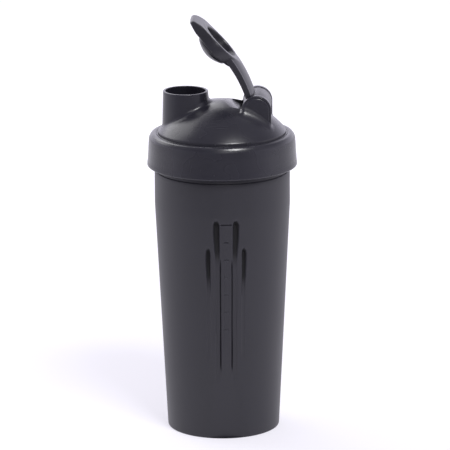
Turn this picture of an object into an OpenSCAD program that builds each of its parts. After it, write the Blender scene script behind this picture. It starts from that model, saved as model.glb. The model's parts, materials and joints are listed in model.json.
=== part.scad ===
// Screw-top protein shaker bottle: tapered cup, screw lid with a drinking spout,
// flip cap on a snap hinge, silicone lid seal and a loose wire whisk ball.
// Millimetres, +Z up. The origin is the centre of the base, on the surface it stands on.
// The spout is towards -X and the hinge towards +X, with the hinge pin line along Y.

/* [Cup] */
// Diameter of the cup at its base
cup_base_d = 73; // [60:0.5:80]
// Diameter of the collar, above the taper
cup_collar_d = 87.8; // [82:0.2:106]
// Height at which the taper meets the collar
taper_h = 150; // [120:1:185]
// Height of the straight collar
collar_h = 22; // [16:0.5:30]
// Wall of the cup
cup_wall = 2.4; // [1.8:0.1:3]
// Thickness of the floor
floor_t = 2.4; // [1.8:0.1:4]
// Depth of the recess under the floor
foot_recess = 1.2; // [0.5:0.1:2.5]
// Width of the foot ring that the cup stands on
foot_w = 4.2; // [3:0.1:8]
// Height at which the flat front and back facets die out
facet_h = 60; // [30:1:90]
// How far the facets cut into the base
facet_cut = 2.6; // [0:0.1:4]
// Turn of the cup about its axis, against the lid
cup_turn = 5; // [0:1:30]

/* [Grip flutes and scale] */
// Half the width of the strip between the flutes
strip_half_w = 3.7; // [3:0.1:6]
// Width of an inner flute
flute_w = 4.6; // [3:0.1:5.5]
// Width of an outer flute
outer_flute_w = 3.8; // [3:0.1:5]
// Land between an inner and an outer flute
flute_land = 1; // [0.8:0.1:4]
// Depth of the flutes at their round top end
flute_depth = 1.1; // [0.6:0.1:1.3]
// Depth of the shallow run below it
flute_run_depth = 0.4; // [0.2:0.05:0.6]
// Distance of the inner flutes' tops below the collar shoulder
flute_top_drop = 27; // [22:0.5:50]
// Length of the inner flutes
flute_len = 107; // [70:1:110]
// How much lower the outer flutes start
outer_flute_drop = 18; // [8:1:30]
// Length of the outer flutes
outer_flute_len = 74; // [40:1:80]
// Length of the deep round top of a flute
flute_deep_len = 30; // [18:1:36]
// Distance between two marks of the scale
tick_step = 11.7; // [8:0.1:14]
// Number of marks of the scale
tick_count = 7; // [2:1:8]
// Width of a scale line
tick_w = 0.6; // [0.4:0.1:1]
// Depth of a scale line
tick_depth = 0.35; // [0.2:0.05:0.5]

/* [Neck and screw thread] */
// Height of the threaded neck above the collar
neck_h = 19.6; // [17:0.2:26]
// Step from the collar in to the neck
neck_step = 1; // [0.6:0.1:2]
// Wall of the neck
neck_wall = 2.5; // [2:0.1:3.2]
// Rise of the thread in one turn
thread_pitch = 6; // [5.6:0.1:7]
// Turns of thread on each part
thread_turns = 1.5; // [1:0.1:1.6]
// Height of the thread ridge above its wall
thread_depth = 1.7; // [1.2:0.1:2]
// Gap between a thread crest and the wall that it faces
thread_gap = 0.6; // [0.4:0.05:1]

/* [Lid] */
// Wall of the lid
lid_wall = 2; // [1.6:0.1:2.6]
// Height of the gap that shows between the collar and the lid
lid_gap = 3.2; // [2:0.1:5]
// Extra wall at the flared bottom edge of the band
band_flare = 1.2; // [0.4:0.1:2]
// Radius of the shoulder at the top of the band
shoulder_r = 4.6; // [2:0.1:6]
// Rise of the dome above its foot
dome_rise = 19.7; // [14:0.1:26]
// Distance from the lid's inner wall in to the foot of the dome
dome_inset = 3.9; // [3:0.1:6]
// Wall of the ring that centres the lid in the neck
plug_ring_wall = 1.6; // [1.2:0.1:2.4]
// How far that ring reaches down into the neck
plug_ring_h = 3.2; // [2:0.1:6]
// Gap between that ring and the neck
plug_ring_gap = 0.4; // [0.3:0.05:0.8]

/* [Spout] */
// Outer diameter of the spout at its rim
spout_d = 29.2; // [24:0.2:32]
// Wall of the spout
spout_wall = 1.6; // [1.2:0.1:2.2]
// Height of the rim above the top of the dome
spout_rise = 6.2; // [4:0.1:9]
// Distance from the foot of the dome in to the spout's wall
spout_edge = 3.3; // [2:0.1:6]
// Draft of the spout, added to its radius at its foot
spout_draft = 0.8; // [0:0.1:1.5]

/* [Hinge] */
// Distance from the foot of the dome in to the hinge line
hinge_edge = 18.5; // [15:0.5:22]
// Depth of the hinge line below the spout's rim
hinge_drop = 9.6; // [8:0.1:12]
// Radius of the hinge ears
ear_r = 9.5; // [8:0.1:11]
// Distance between the outer faces of the ears
hinge_w = 35.5; // [32:0.5:42]
// Thickness of an ear
ear_t = 4.5; // [3.5:0.1:6]
// Bevel round an ear's outer face
ear_bevel = 1.5; // [0.5:0.1:2]
// Radius of the stub axles
axle_r = 3; // [2:0.1:4]
// Running clearance round a stub axle
axle_clear = 0.06; // [0.02:0.01:0.1]
// Length of a stub axle
axle_len = 2.8; // [1.5:0.1:3]
// Radius of the cap's barrel
barrel_r = 9.2; // [7.5:0.1:10]
// Gap between the barrel and the ears or the pocket
hinge_gap = 0.5; // [0.3:0.05:0.8]

/* [Flip cap] */
// Opening angle of the cap as the model stands
cap_open = 46.5; // [0:0.5:150]
// Width of the arm
arm_w = 25.6; // [18:0.2:27]
// Thickness of the arm at its edges
arm_t = 3.7; // [2.5:0.1:5]
// Rise of the arm's crowned top
arm_crown = 3; // [0:0.1:4]
// Height of the cap's rim above the spout's rim
cap_top = 2.7; // [2:0.1:4]
// How far the cap's skirt reaches down outside the spout
skirt_h = 4.1; // [2:0.1:5]
// Wall of the cap's skirt
skirt_wall = 1.3; // [1:0.1:2]
// Gap between the skirt and the spout
skirt_gap = 0.6; // [0.5:0.05:1]
// How far the sealing plug reaches down inside the spout
plug_h = 9.3; // [7:0.1:10]
// Gap between the plug and the spout's bore
plug_gap = 0.4; // [0.3:0.05:0.8]
// Wall of the bowl inside the plug
bowl_wall = 1.7; // [1.2:0.1:2.4]
// Reach of the thumb tab past the skirt
tab_len = 7.6; // [4:0.1:10]
// Width of the thumb tab
tab_w = 23; // [14:0.5:26]

/* [Lid seal] */
// Thickness of the silicone ring
seal_t = 1.8; // [1.2:0.1:3]
// Gap above and below the ring
seal_gap = 0.2; // [0.1:0.05:0.3]

/* [Whisk ball] */
// Outer diameter of the ball
ball_d = 50; // [40:0.5:56]
// Diameter of its wire
wire_d = 2.2; // [1.6:0.1:3]
// Turns of wire from pole to pole
ball_turns = 7; // [5:1:8]

/* [Hidden] */
$fn = 120;
eps = 0.01;

// Cup levels and radii
collar_r = cup_collar_d / 2;
base_r = cup_base_d / 2;
shoulder_z = taper_h + collar_h;
neck_r = collar_r - neck_step;
neck_in_r = neck_r - neck_wall;
rim_z = shoulder_z + neck_h;
taper = (collar_r - base_r) / taper_h;
taper_angle = atan(taper);
foot_r = 1;                       // rounding under the outer wall
floor_z = foot_recess + floor_t;
floor_round = 3;                  // rounding inside, where the wall meets the floor
collar_round = 0.9;
rim_round = 0.7;

// Flutes
flute_run_share = 0.785;          // width of the shallow run, as a share of the flute's
flute_deep_lean = 0.4;            // lean of the deep top, as a share of the wall's, so it fades out
flute_top_above = 2.4;            // rise of the scale's strip above the flutes' tops
tick_top_drop = 2.2;              // first mark below that

// Screw thread
thread_crest_r = neck_r + thread_depth;
lid_in_r = thread_crest_r + thread_gap;
lid_crest_r = lid_in_r - thread_depth;
thread_root_w = 2.9;
thread_crest_w = 1.3;
thread_start_z = shoulder_z + 5.5;
thread_segments = 40;             // segments in one turn
thread_runout = 24;               // degrees over which each end fades into the wall
thread_sunk = 0.6;                // how far the ridge's root is sunk into its wall

// Lid levels and radii
lid_z = shoulder_z + lid_gap;
ceiling_z = rim_z + seal_t + 2 * seal_gap;
groove_z = ceiling_z + lid_wall;
band_r = lid_in_r + lid_wall + 0.2;
band_foot_r = band_r + band_flare;
band_lip_r = 0.8;                 // rounding of the band's bottom edge and of the groove's edge
band_flare_h = 6.2;               // height over which the band flares
band_cove_r = 1.5;
shoulder_top_z = groove_z + 0.6;
dome_foot_r = lid_in_r - dome_inset;
dome_foot_z = groove_z + 2.2;
dome_top_z = dome_foot_z + dome_rise;
dome_r = (dome_foot_r * dome_foot_r + dome_rise * dome_rise) / (2 * dome_rise);
dome_z = dome_top_z - dome_r;
dome_seam = 110;
plug_ring_r = neck_in_r - plug_ring_gap;
plug_ring_in_r = plug_ring_r - plug_ring_wall;

// Spout
spout_r = spout_d / 2;
bore_r = spout_r - spout_wall;
spout_x = -(dome_foot_r - spout_r - spout_edge);
spout_z = dome_top_z + spout_rise;
spout_lip = 0.6;

// Hinge
hinge_x = dome_foot_r - hinge_edge;
hinge_z = spout_z - hinge_drop;
ear_out = hinge_w / 2;
ear_in = ear_out - ear_t;
barrel_half = ear_in - hinge_gap;
pocket_r = barrel_r + hinge_gap;
axle_end = barrel_half + hinge_gap + axle_len;

// Flip cap, closed, with its own origin on the hinge line: x and z from there
reach = hinge_x - spout_x;
seat_z = hinge_drop;
cap_top_z = seat_z + cap_top;
skirt_z = seat_z - skirt_h;
skirt_in_r = spout_r + skirt_gap;
skirt_r = skirt_in_r + skirt_wall;
plug_r = bore_r - plug_gap;
plug_foot_r = plug_r - 1;         // the plug tapers so that it swings clear of the bore
plug_z = seat_z - plug_h;
plug_dome = 4.3;                  // height of the plug's convex end
bowl_r = plug_r - bowl_wall;
seat_gap = 0.25;
arm_root_x = -barrel_r * 0.65;
arm_end_x = -reach + plug_r;
arm_end_top = cap_top_z - 2;
arm_root_top = barrel_r / 6;
arm_fall = arm_end_top - arm_root_top;
arm_even = 0.4;                   // share of that fall that is even along the arm
relief_angle = 26;                // slope of the relief under the shut arm's root
relief_out = 3.3;                 // its low corner, past the barrel
relief_drop = 0.7;                // and below the hinge line
relief_len = 12;
relief_over = 4;
relief_h = 14;
tub_shift = 2.6;                  // how far the pocket's tub leans out under the relief
tab_drop = 3;                     // fall of the tab's top towards its tip
tab_corner_r = 4;
arm_stations = 16;
arm_sides = 12;
tab_tip_x = -reach - skirt_r - tab_len;

// Whisk ball
ball_r = ball_d / 2;
ball_z = floor_z + 0.3 + ball_r;
ball_rings = 28;                  // rings in one turn of the wire
ball_sides = 6;

// Points of an arc about c, with radius r, from angle a to angle b
function arc(c, r, a, b, n = 8) =
    [for (i = [0 : n]) c + r * [cos(a + (b - a) * i / n), sin(a + (b - a) * i / n)]];

// Radius of the cup's outside at height z
function cup_r_at(z) = min(collar_r, base_r + taper * z);

// Faces of a tube of n rings with s points each, closed at both ends
function tube_faces(n, s) = concat(
    [[for (k = [0 : s - 1]) k]],
    [for (i = [0 : n - 2]) for (k = [0 : s - 1])
        [i * s + k, (i + 1) * s + k, (i + 1) * s + (k + 1) % s, i * s + (k + 1) % s]],
    [[for (k = [s - 1 : -1 : 0]) (n - 1) * s + k]]);

// The same faces, turned to look the other way
function reversed(faces) = [for (f = faces) [for (k = [len(f) - 1 : -1 : 0]) f[k]]];

// ---------- cup ----------

// A flat face on the front (side = -1) and the back (side = 1) of the base
module facet(side, inset) {
    lean = atan((cup_r_at(facet_h) - base_r + facet_cut) / facet_h);
    translate([0, side * (base_r - facet_cut - inset), 0])
        rotate([-side * lean, 0, 0])
            translate([-base_r, side > 0 ? 0 : -base_r, -base_r])
                cube([2 * base_r, base_r, facet_h + 2 * base_r]);
}

module cup_outside() {
    difference() {
        rotate_extrude()
            polygon(concat(
                [[0, 0]],
                arc([base_r - foot_r, foot_r], foot_r, -90, 0, 4),
                [[collar_r, taper_h]],
                arc([collar_r - collar_round, shoulder_z - collar_round], collar_round, 0, 90, 5),
                [[neck_r, shoulder_z]],
                arc([neck_r - rim_round, rim_z - rim_round], rim_round, 0, 90, 4),
                [[0, rim_z]]));
        for (side = [-1, 1]) facet(side, 0);
    }
}

module cup_inside() {
    difference() {
        rotate_extrude()
            polygon(concat(
                [[0, floor_z]],
                arc([base_r - cup_wall - floor_round, floor_z + floor_round], floor_round, -90, 0, 6),
                [[collar_r - cup_wall, taper_h],
                 [neck_in_r, shoulder_z - 1],
                 [neck_in_r, rim_z + 1],
                 [0, rim_z + 1]]));
        for (side = [-1, 1]) facet(side, cup_wall);
    }
}

// A round-ended cutter of radius r that leans with the wall, its top at z = 0
module leaning_bar(r, len, angle) {
    rotate([angle, 0, 0])
        rotate_extrude()
            polygon(concat(arc([0, -len + r], r, -90, 0, 6), arc([0, -r], r, 0, 90, 6)));
}

// One flute: a deep round top that fades out, then a shallow run parallel to the wall
module flute(x, width, top_z, len) {
    deep_r = (width * width / 4 + flute_depth * flute_depth) / (2 * flute_depth);
    run_half = width * flute_run_share / 2;
    run_r = (run_half * run_half + flute_run_depth * flute_run_depth) / (2 * flute_run_depth);
    wall_r = cup_r_at(top_z);
    rotate([0, 0, asin(x / wall_r)]) {
        translate([0, -(wall_r + deep_r - flute_depth), top_z])
            leaning_bar(deep_r, flute_deep_len + deep_r, taper_angle * flute_deep_lean);
        translate([0, -(wall_r + run_r - flute_run_depth), top_z])
            leaning_bar(run_r, len, taper_angle);
    }
}

// Flutes and scale on one side of the cup
module grip_panel() {
    top_z = shoulder_z - flute_top_drop + flute_top_above;
    inner_x = strip_half_w + flute_w / 2;
    outer_x = strip_half_w + flute_w + flute_land + outer_flute_w / 2;
    for (s = [-1, 1]) {
        flute(s * inner_x, flute_w, top_z, flute_len);
        flute(s * outer_x, outer_flute_w, top_z - outer_flute_drop, outer_flute_len);
    }
    for (i = [0 : tick_count - 1]) {
        z = top_z - tick_top_drop - i * tick_step;
        half = i == 0 ? strip_half_w - 0.2 : strip_half_w * 0.55;
        translate([-half, -cup_r_at(z) - 1, z - tick_w / 2])
            cube([2 * half, 1 + tick_depth + half * half / (2 * collar_r), tick_w]);
    }
}

// Ridge of a screw thread, from the wall of radius root_r to the crest of radius crest_r
module thread_ridge(root_r, crest_r, start_z) {
    n = ceil(thread_turns * thread_segments);
    span = thread_turns * 360;
    inward = crest_r > root_r ? -1 : 1;
    function fade(a) = min(1, a / thread_runout, (span - a) / thread_runout);
    function ridge(a) =
        let (z = start_z + thread_pitch * a / 360,
             f = max(0, fade(a)),
             r0 = root_r + inward * thread_sunk,
             r1 = root_r + inward * 0.2 * (1 - f) + (crest_r - root_r) * f)
        [for (p = [[r0, -thread_root_w / 2 - 0.5], [r1, -thread_crest_w / 2],
                   [r1, thread_crest_w / 2], [r0, thread_root_w / 2 + 0.5]])
            [p[0] * cos(a), p[0] * sin(a), z + p[1]]];
    points = [for (i = [0 : n]) each ridge(span * i / n)];
    faces = tube_faces(n + 1, 4);
    polyhedron(points, inward > 0 ? faces : reversed(faces));
}

module cup() {
    color([0.24, 0.24, 0.27])
        rotate([0, 0, cup_turn]) {
            difference() {
                cup_outside();
                cup_inside();
                translate([0, 0, -1]) cylinder(r = base_r - facet_cut - foot_w, h = 1 + foot_recess);
                for (a = [0, 180]) rotate([0, 0, a]) grip_panel();
            }
            thread_ridge(neck_r, thread_crest_r, thread_start_z);
        }
}

// ---------- lid ----------

module band() {
    rotate_extrude()
        polygon(concat(
            [[0, lid_z]],
            [[band_foot_r - band_lip_r, lid_z]],
            arc([band_foot_r - band_lip_r, lid_z + 1.1], band_lip_r, -40, 40, 4),
            arc([band_r + band_cove_r + 0.1, lid_z + band_flare_h], band_cove_r, 205, 180, 4),
            arc([band_r - shoulder_r, shoulder_top_z - shoulder_r], shoulder_r, 4, 84, 8),
            arc([dome_foot_r + 1.5, shoulder_top_z - band_lip_r], band_lip_r, 90, 160, 4),
            [[dome_foot_r + 0.5, groove_z], [0, groove_z]]));
}

// Ball of the dome, turned so that its seam is clear of the spout and the hinge
module dome(r) {
    translate([0, 0, dome_z]) rotate([0, 0, dome_seam]) sphere(r = r, $fn = 180);
}

// Everything under the dome's own foot is cut from its ball
module dome_outside() {
    intersection() {
        dome(dome_r);
        translate([0, 0, groove_z - 0.6]) rotate([0, 0, dome_seam])
            cylinder(r = dome_foot_r + 0.15, h = dome_r);
    }
}

module spout_outside() {
    foot_z = groove_z - 6;
    translate([spout_x, 0, 0]) rotate([0, 0, dome_seam - 10]) {
        translate([0, 0, foot_z])
            cylinder(r1 = spout_r + spout_draft, r2 = spout_r, h = spout_z - spout_lip - foot_z);
        translate([0, 0, spout_z - spout_lip])
            rotate_extrude()
                polygon(concat([[0, 0]], arc([spout_r - spout_lip, 0], spout_lip, 0, 90, 4),
                               [[0, spout_lip]]));
    }
}

// Outline of an ear seen from above: a block with its outer edges bevelled
module ear(side) {
    run = ear_bevel * 0.6;
    translate([hinge_x, 0, hinge_z])
        mirror([0, side < 0 ? 1 : 0, 0]) {
            translate([0, 0, dome_z - hinge_z])
                linear_extrude(height = hinge_z - dome_z)
                    polygon([[-ear_r, ear_in], [ear_r, ear_in], [ear_r, ear_out - run],
                             [ear_r - ear_bevel, ear_out], [ear_bevel - ear_r, ear_out],
                             [-ear_r, ear_out - run]]);
            rotate([-90, 0, 0]) {
                translate([0, 0, ear_in]) cylinder(r = ear_r, h = ear_t - run);
                translate([0, 0, ear_out - run]) cylinder(r1 = ear_r, r2 = ear_r - ear_bevel, h = run);
            }
        }
}

// Room for the barrel
module barrel_pocket() {
    translate([hinge_x, 0, hinge_z])
        rotate([90, 0, 0]) cylinder(r = pocket_r, h = 2 * ear_in, center = true);
}

// Room for the root of the arm when the cap is shut
module arm_relief() {
    half = ear_in - 0.1;
    translate([hinge_x - barrel_r - relief_out, 0, hinge_z - relief_drop])
        rotate([0, relief_angle, 0])
            translate([-relief_len, -half, 0])
                cube([relief_len + relief_over, 2 * half, relief_h]);
}

// Wall under the pocket and the relief
module pocket_tub() {
    translate([hinge_x - tub_shift, 0, hinge_z])
        rotate([90, 0, 0])
            cylinder(r = pocket_r + lid_wall + tub_shift, h = 2 * (ear_in + lid_wall), center = true);
}

module lid_shell() {
    difference() {
        union() {
            band();
            dome_outside();
            spout_outside();
            ear(1);
            ear(-1);
        }
        translate([0, 0, dome_z - 30]) cylinder(r = lid_in_r, h = ceiling_z - dome_z + 30);
        intersection() {
            dome(dome_r - lid_wall);
            translate([0, 0, ceiling_z - 1]) cylinder(r = plug_ring_in_r, h = dome_r);
        }
    }
}

module plug_ring() {
    ring_z = rim_z - plug_ring_h;
    ring_h = ceiling_z - ring_z;
    translate([0, 0, ring_z])
        difference() {
            cylinder(r = plug_ring_r, h = ring_h + 0.5);
            translate([0, 0, -1]) cylinder(r = plug_ring_in_r, h = ring_h + 3);
        }
}

module lid() {
    color([0.2, 0.2, 0.23]) {
        difference() {
            union() {
                lid_shell();
                plug_ring();
                intersection() {
                    dome(dome_r - 0.3);
                    pocket_tub();
                }
            }
            barrel_pocket();
            arm_relief();
            translate([spout_x, 0, dome_z]) cylinder(r = bore_r, h = dome_r + spout_rise + 1);
            translate([hinge_x, 0, hinge_z]) rotate([90, 0, 0])
                cylinder(r = axle_r + axle_clear, h = 2 * (axle_end + 0.3), center = true);
        }
        thread_ridge(lid_in_r, lid_crest_r, thread_start_z + thread_pitch / 2);
    }
}

// ---------- flip cap ----------

// Height of the arm's upper edge, falling away from the disc towards the barrel
function arm_edge(x) =
    let (u = (x - arm_end_x) / (arm_root_x - arm_end_x))
    arm_end_top - arm_fall * (arm_even * u + (1 - arm_even) * u * u);

// Cross-section of the arm: flat below, crowned above
function arm_section(x) =
    let (half = arm_w / 2, top = arm_edge(x))
    concat(
        [[x, half, top - arm_t], [x, -half, top - arm_t]],
        [for (i = [0 : arm_sides])
            let (y = -half + 2 * half * i / arm_sides)
            [x, y, top + arm_crown * (1 - y * y / (half * half))]]);

module arm() {
    n = arm_sides + 3;
    points = [for (i = [0 : arm_stations])
        each arm_section(arm_root_x + (arm_end_x - arm_root_x) * i / arm_stations)];
    polyhedron(points, tube_faces(arm_stations + 1, n));
}

module cap_disc() {
    translate([-reach, 0, 0])
        rotate_extrude()
            polygon(concat(
                [[0, seat_z], [skirt_in_r + 0.2, skirt_z], [skirt_r - 0.3, skirt_z],
                 [skirt_r, skirt_z + 0.3]],
                arc([skirt_r - 0.9, cap_top_z - 0.9], 0.9, 0, 90, 4),
                [[0, cap_top_z]]));
}

// Outline of the thumb tab from above, with rounded outer corners
module tab_outline() {
    r = tab_corner_r;
    half = tab_w / 2;
    polygon(concat(
        arc([tab_tip_x + r, half - r], r, 180, 90, 5),
        [[-reach, half], [-reach, -half]],
        arc([tab_tip_x + r, r - half], r, 270, 180, 5)));
}

module thumb_tab() {
    intersection() {
        rotate([90, 0, 0])
            linear_extrude(height = tab_w + 2, center = true)
                polygon([[-reach, cap_top_z], [-reach - skirt_r, cap_top_z],
                         [-reach - skirt_r - tab_len * 0.5, cap_top_z - tab_drop * 0.3],
                         [tab_tip_x + 0.6, cap_top_z - tab_drop], [tab_tip_x, cap_top_z - tab_drop - 0.7],
                         [tab_tip_x + 0.6, cap_top_z - tab_drop - 1.9],
                         [-reach - skirt_r - tab_len * 0.3, skirt_z + 0.8],
                         [-reach - skirt_r, skirt_z], [-reach, skirt_z]]);
        translate([0, 0, skirt_z - 1]) linear_extrude(height = cap_top_z - skirt_z + 2) tab_outline();
    }
}

// Plug that enters the spout, with its convex end
module plug() {
    end_r = (plug_foot_r * plug_foot_r + plug_dome * plug_dome) / (2 * plug_dome);
    translate([-reach, 0, 0]) {
        translate([0, 0, plug_z + plug_dome])
            cylinder(r1 = plug_foot_r, r2 = plug_r, h = seat_z - plug_z - plug_dome + 0.5);
        intersection() {
            translate([0, 0, plug_z + end_r]) sphere(r = end_r);
            translate([0, 0, plug_z - 1]) cylinder(r = plug_foot_r, h = plug_dome + 1 + eps);
        }
    }
}

// Groove that the spout's rim enters
module rim_groove() {
    translate([-reach, 0, skirt_z - 3])
        difference() {
            cylinder(r = skirt_in_r, h = seat_z + seat_gap - skirt_z + 3);
            translate([0, 0, -1]) cylinder(r = plug_r - eps, h = seat_z - skirt_z + 6);
        }
}

// Hollow of the bowl, open at the top
module bowl() {
    end_r = (bowl_r * bowl_r + plug_dome * plug_dome) / (2 * plug_dome);
    translate([-reach, 0, 0]) {
        translate([0, 0, plug_z + bowl_wall + plug_dome])
            cylinder(r1 = bowl_r - 1, r2 = bowl_r + 0.4, h = cap_top_z - plug_z - plug_dome);
        intersection() {
            translate([0, 0, plug_z + bowl_wall + end_r]) sphere(r = end_r);
            translate([0, 0, plug_z]) cylinder(r = bowl_r - 1, h = plug_dome + bowl_wall + eps);
        }
    }
}

module flip_cap() {
    color([0.3, 0.3, 0.33])
        translate([hinge_x, 0, hinge_z])
            rotate([0, cap_open, 0]) {
                difference() {
                    union() {
                        arm();
                        cap_disc();
                        thumb_tab();
                    }
                    rim_groove();
                    translate([-reach, 0, skirt_z - 3])
                        cylinder(r = plug_r + eps, h = seat_z - skirt_z + 3);
                    bowl();
                }
                difference() {
                    plug();
                    bowl();
                }
                rotate([90, 0, 0]) {
                    cylinder(r = barrel_r, h = 2 * barrel_half, center = true);
                    cylinder(r = axle_r, h = 2 * axle_end, center = true);
                }
            }
}

// ---------- seal and whisk ball ----------

module lid_seal() {
    side_gap = 0.3;
    r0 = plug_ring_r + side_gap;
    r1 = neck_r + 0.9;
    round_r = 0.5;
    z0 = rim_z + seal_gap;
    color([0.12, 0.12, 0.13])
        rotate_extrude()
            polygon(concat(
                arc([r1 - round_r, z0 + round_r], round_r, -90, 0, 3),
                arc([r1 - round_r, z0 + seal_t - round_r], round_r, 0, 90, 3),
                arc([r0 + round_r, z0 + seal_t - round_r], round_r, 90, 180, 3),
                arc([r0 + round_r, z0 + round_r], round_r, 180, 270, 3)));
}

// Centre line of the wire: a spiral over a ball, from the lower to the upper pole
function wire_point(t) =
    let (r = ball_r - wire_d / 2, lat = -78 + 156 * t, a = 360 * ball_turns * t)
    [r * cos(lat) * cos(a), r * cos(lat) * sin(a), r * sin(lat)];

module whisk_ball() {
    n = ball_turns * ball_rings;
    step = 1 / n;
    function ring(i) =
        let (p = wire_point(i * step),
             d = wire_point(min(1, (i + 1) * step)) - wire_point(max(0, (i - 1) * step)),
             t = d / norm(d),
             u = p / norm(p),
             v = cross(t, u),
             w = cross(v, t))
        [for (k = [0 : ball_sides - 1])
            p + wire_d / 2 * (cos(360 * k / ball_sides) * v / norm(v) + sin(360 * k / ball_sides) * w)];
    color([0.75, 0.75, 0.77])
        translate([0, 0, ball_z])
            polyhedron([for (i = [0 : n]) each ring(i)], reversed(tube_faces(n + 1, ball_sides)));
}

cup();
lid();
flip_cap();
lid_seal();
whisk_ball();
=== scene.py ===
# Protein shaker bottle: the moulded pieces, their finishes and a plain studio.
# Lengths are metres. The spout is towards -X, the hinge towards +X and the grip panel towards -Y.
import json
from math import cos, degrees, exp, hypot, log, pi, radians, sin, sqrt, tan, tau

import bmesh
import bpy
from bpy.props import FloatProperty, FloatVectorProperty, IntProperty, PointerProperty
from mathutils import Matrix, Vector


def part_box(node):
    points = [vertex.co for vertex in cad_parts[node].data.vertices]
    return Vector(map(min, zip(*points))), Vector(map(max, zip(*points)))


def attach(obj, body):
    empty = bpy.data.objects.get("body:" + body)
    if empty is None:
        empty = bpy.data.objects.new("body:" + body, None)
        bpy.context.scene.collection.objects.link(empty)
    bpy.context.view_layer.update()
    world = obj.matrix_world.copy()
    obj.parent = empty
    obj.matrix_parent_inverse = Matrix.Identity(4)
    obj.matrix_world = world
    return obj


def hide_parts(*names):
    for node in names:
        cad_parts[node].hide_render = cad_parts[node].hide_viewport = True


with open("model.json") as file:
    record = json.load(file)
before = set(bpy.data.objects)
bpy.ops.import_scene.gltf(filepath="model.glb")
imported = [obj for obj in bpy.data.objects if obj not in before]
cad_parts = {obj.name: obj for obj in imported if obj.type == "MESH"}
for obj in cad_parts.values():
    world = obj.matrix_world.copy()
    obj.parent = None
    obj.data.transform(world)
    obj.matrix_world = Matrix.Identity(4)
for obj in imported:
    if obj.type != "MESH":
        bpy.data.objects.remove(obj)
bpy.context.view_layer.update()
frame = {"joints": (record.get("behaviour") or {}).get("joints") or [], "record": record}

bl_info = {
    "name": "Protein Shaker Bottle",
    "version": (1, 0, 0),
    "blender": (4, 5, 0),
    "location": "View3D > Sidebar > Shaker",
    "description": "Builds a screw-top shaker bottle with a flip cap, piece by piece",
    "category": "Add Mesh",
}

MM = 0.001
MERGE = 1e-6            # points closer than this become one

# Places taken from the frame
CUP_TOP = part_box("cup")[1].z
LID_LOW, LID_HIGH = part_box("lid")
SEAL_LOW, SEAL_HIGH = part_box("lid_seal")
BALL_LOW, BALL_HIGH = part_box("whisk_ball")
CAP_HINGE = next(j for j in frame["joints"] if j["name"] == "cap_hinge")
HINGE = Vector(CAP_HINGE["pos_m"])
CAP_OPEN = radians(-CAP_HINGE["range_deg"][0])
SPOUT_BORE = next(o for o in frame["record"]["physics"]["openings"] if o["name"] == "spout_bore")
SPOUT_X = (SPOUT_BORE["box_m"][0][0] + SPOUT_BORE["box_m"][1][0]) / 2
BALL_MID = (BALL_LOW + BALL_HIGH) / 2

# The studio: each lamp's way from the middle, its distance, width, height and power
STUDIO_MIDDLE = Vector((0, 0, 0.15))
LAMPS = (
    ("back_left_light", (-0.62, 0.45, 0.64), 1.3, 0.9, 0.9, 6),
    ("back_light", (-0.28, 0.74, 0.62), 1.3, 0.7, 0.5, 2.4),
    ("front_light", (0.28, -0.53, 0.80), 1.4, 0.42, 0.26, 12),
    ("low_front_light", (0.12, -0.90, 0.42), 1.4, 0.5, 0.2, 1.9),
)
CAMERA_PLACE = (0.0858, -2.4115, 0.752)
CAMERA_PAN, CAMERA_PITCH, CAMERA_ROLL = radians(2), radians(75.64), radians(-0.33)
CAMERA_LENS, CAMERA_SENSOR = 306.1, 36


# ---------- sizes and colours that a user would change ----------

def length(name, millimetres, description):
    """A length in metres, written here in millimetres."""
    return FloatProperty(name=name, description=description, default=millimetres * MM,
                         unit="LENGTH", subtype="DISTANCE", precision=5)


def turn(name, degrees, description):
    """An angle, written here in degrees."""
    return FloatProperty(name=name, description=description, default=radians(degrees),
                         unit="ROTATION", subtype="ANGLE")


def tint(name, red, green, blue, description):
    """A colour, in linear values."""
    return FloatVectorProperty(name=name, description=description, default=(red, green, blue),
                               subtype="COLOR", size=3, min=0, max=1)


class ShakerCupSizes(bpy.types.PropertyGroup):
    """Sizes of the cup"""
    base_r: length("Base Radius", 36.5, "Radius of the cup at its base")
    collar_r: length("Collar Radius", 43.9, "Radius of the straight collar")
    taper_h: length("Taper Height", 150, "Height at which the taper meets the collar")
    shoulder_z: length("Shoulder Height", 172, "Height of the top of the collar")
    wall: length("Wall", 2.4, "Thickness of the wall")
    floor_z: length("Floor Height", 3.6, "Height of the inside of the floor")
    recess: length("Foot Recess", 1.2, "Depth of the hollow under the floor")
    foot_w: length("Foot Width", 4.2, "Width of the foot ring")
    neck_step: length("Neck Step", 1, "Step from the collar in to the neck")
    neck_wall: length("Neck Wall", 2.5, "Wall of the threaded neck")
    facet_cut: length("Facet Cut", 2.6, "Depth of the flat front and back at the base")
    facet_h: length("Facet Height", 60, "Height at which the flats die out")
    turn: turn("Turn", 5, "Turn of the cup about its axis")


class ShakerGripSizes(bpy.types.PropertyGroup):
    """Sizes of the grip flutes and the scale"""
    strip_half: length("Strip Half Width", 3.75, "Half the width of the strip between the flutes")
    flute_w: length("Flute Width", 5.3, "Width of an inner flute at its round top")
    run_w: length("Run Width", 3.4, "Width of the shallow run below it")
    outer_start: length("Outer Start", 9.9, "Distance from the middle to an outer flute")
    outer_w: length("Outer Width", 3.9, "Width of an outer flute at its round top")
    depth: length("Flute Depth", 2.4, "Depth of the round top of a flute")
    run_depth: length("Run Depth", 0.6, "Depth of the shallow run")
    top_z: length("Flute Top", 148.2, "Height of the inner flutes' tops")
    bottom_z: length("Flute Bottom", 38, "Height at which the inner flutes end")
    outer_top_z: length("Outer Top", 129.8, "Height of the outer flutes' tops")
    outer_bottom_z: length("Outer Bottom", 53, "Height at which the outer flutes end")
    tick_top_z: length("First Mark", 145.2, "Height of the top mark of the scale")
    tick_step: length("Mark Spacing", 11.7, "Distance between two marks")
    ticks: IntProperty(name="Marks", description="Number of marks", default=7, min=2, max=8)


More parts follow.
